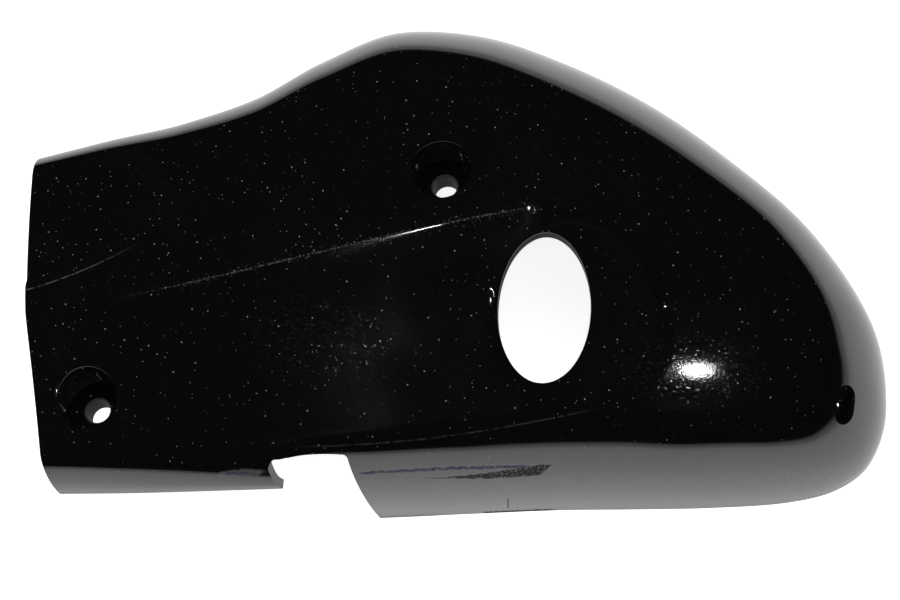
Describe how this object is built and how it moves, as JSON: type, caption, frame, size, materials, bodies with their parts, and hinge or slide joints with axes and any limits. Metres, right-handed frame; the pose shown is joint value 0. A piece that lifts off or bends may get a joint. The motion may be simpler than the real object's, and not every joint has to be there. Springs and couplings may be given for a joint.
{
  "type": "fork cover",
  "caption": "Gloss black moulded fork cover with a folded face, two screw wells, an oval window and a notched skirt.",
  "frame": {"origin": "centre of the bounding box, on the plane of the nose skirt's edge", "axes": "+Z out of the face, +X along the length from the open end to the nose, +Y towards the side with the upper well; it lies on the edge of its skirt, open side down"},
  "size_m": [0.2302, 0.144, 0.0618],
  "materials": {
    "gloss_black": "gloss"
  },
  "bodies": {
    "root": {"fork_cover": "gloss_black"}
  },
  "joints": []
}
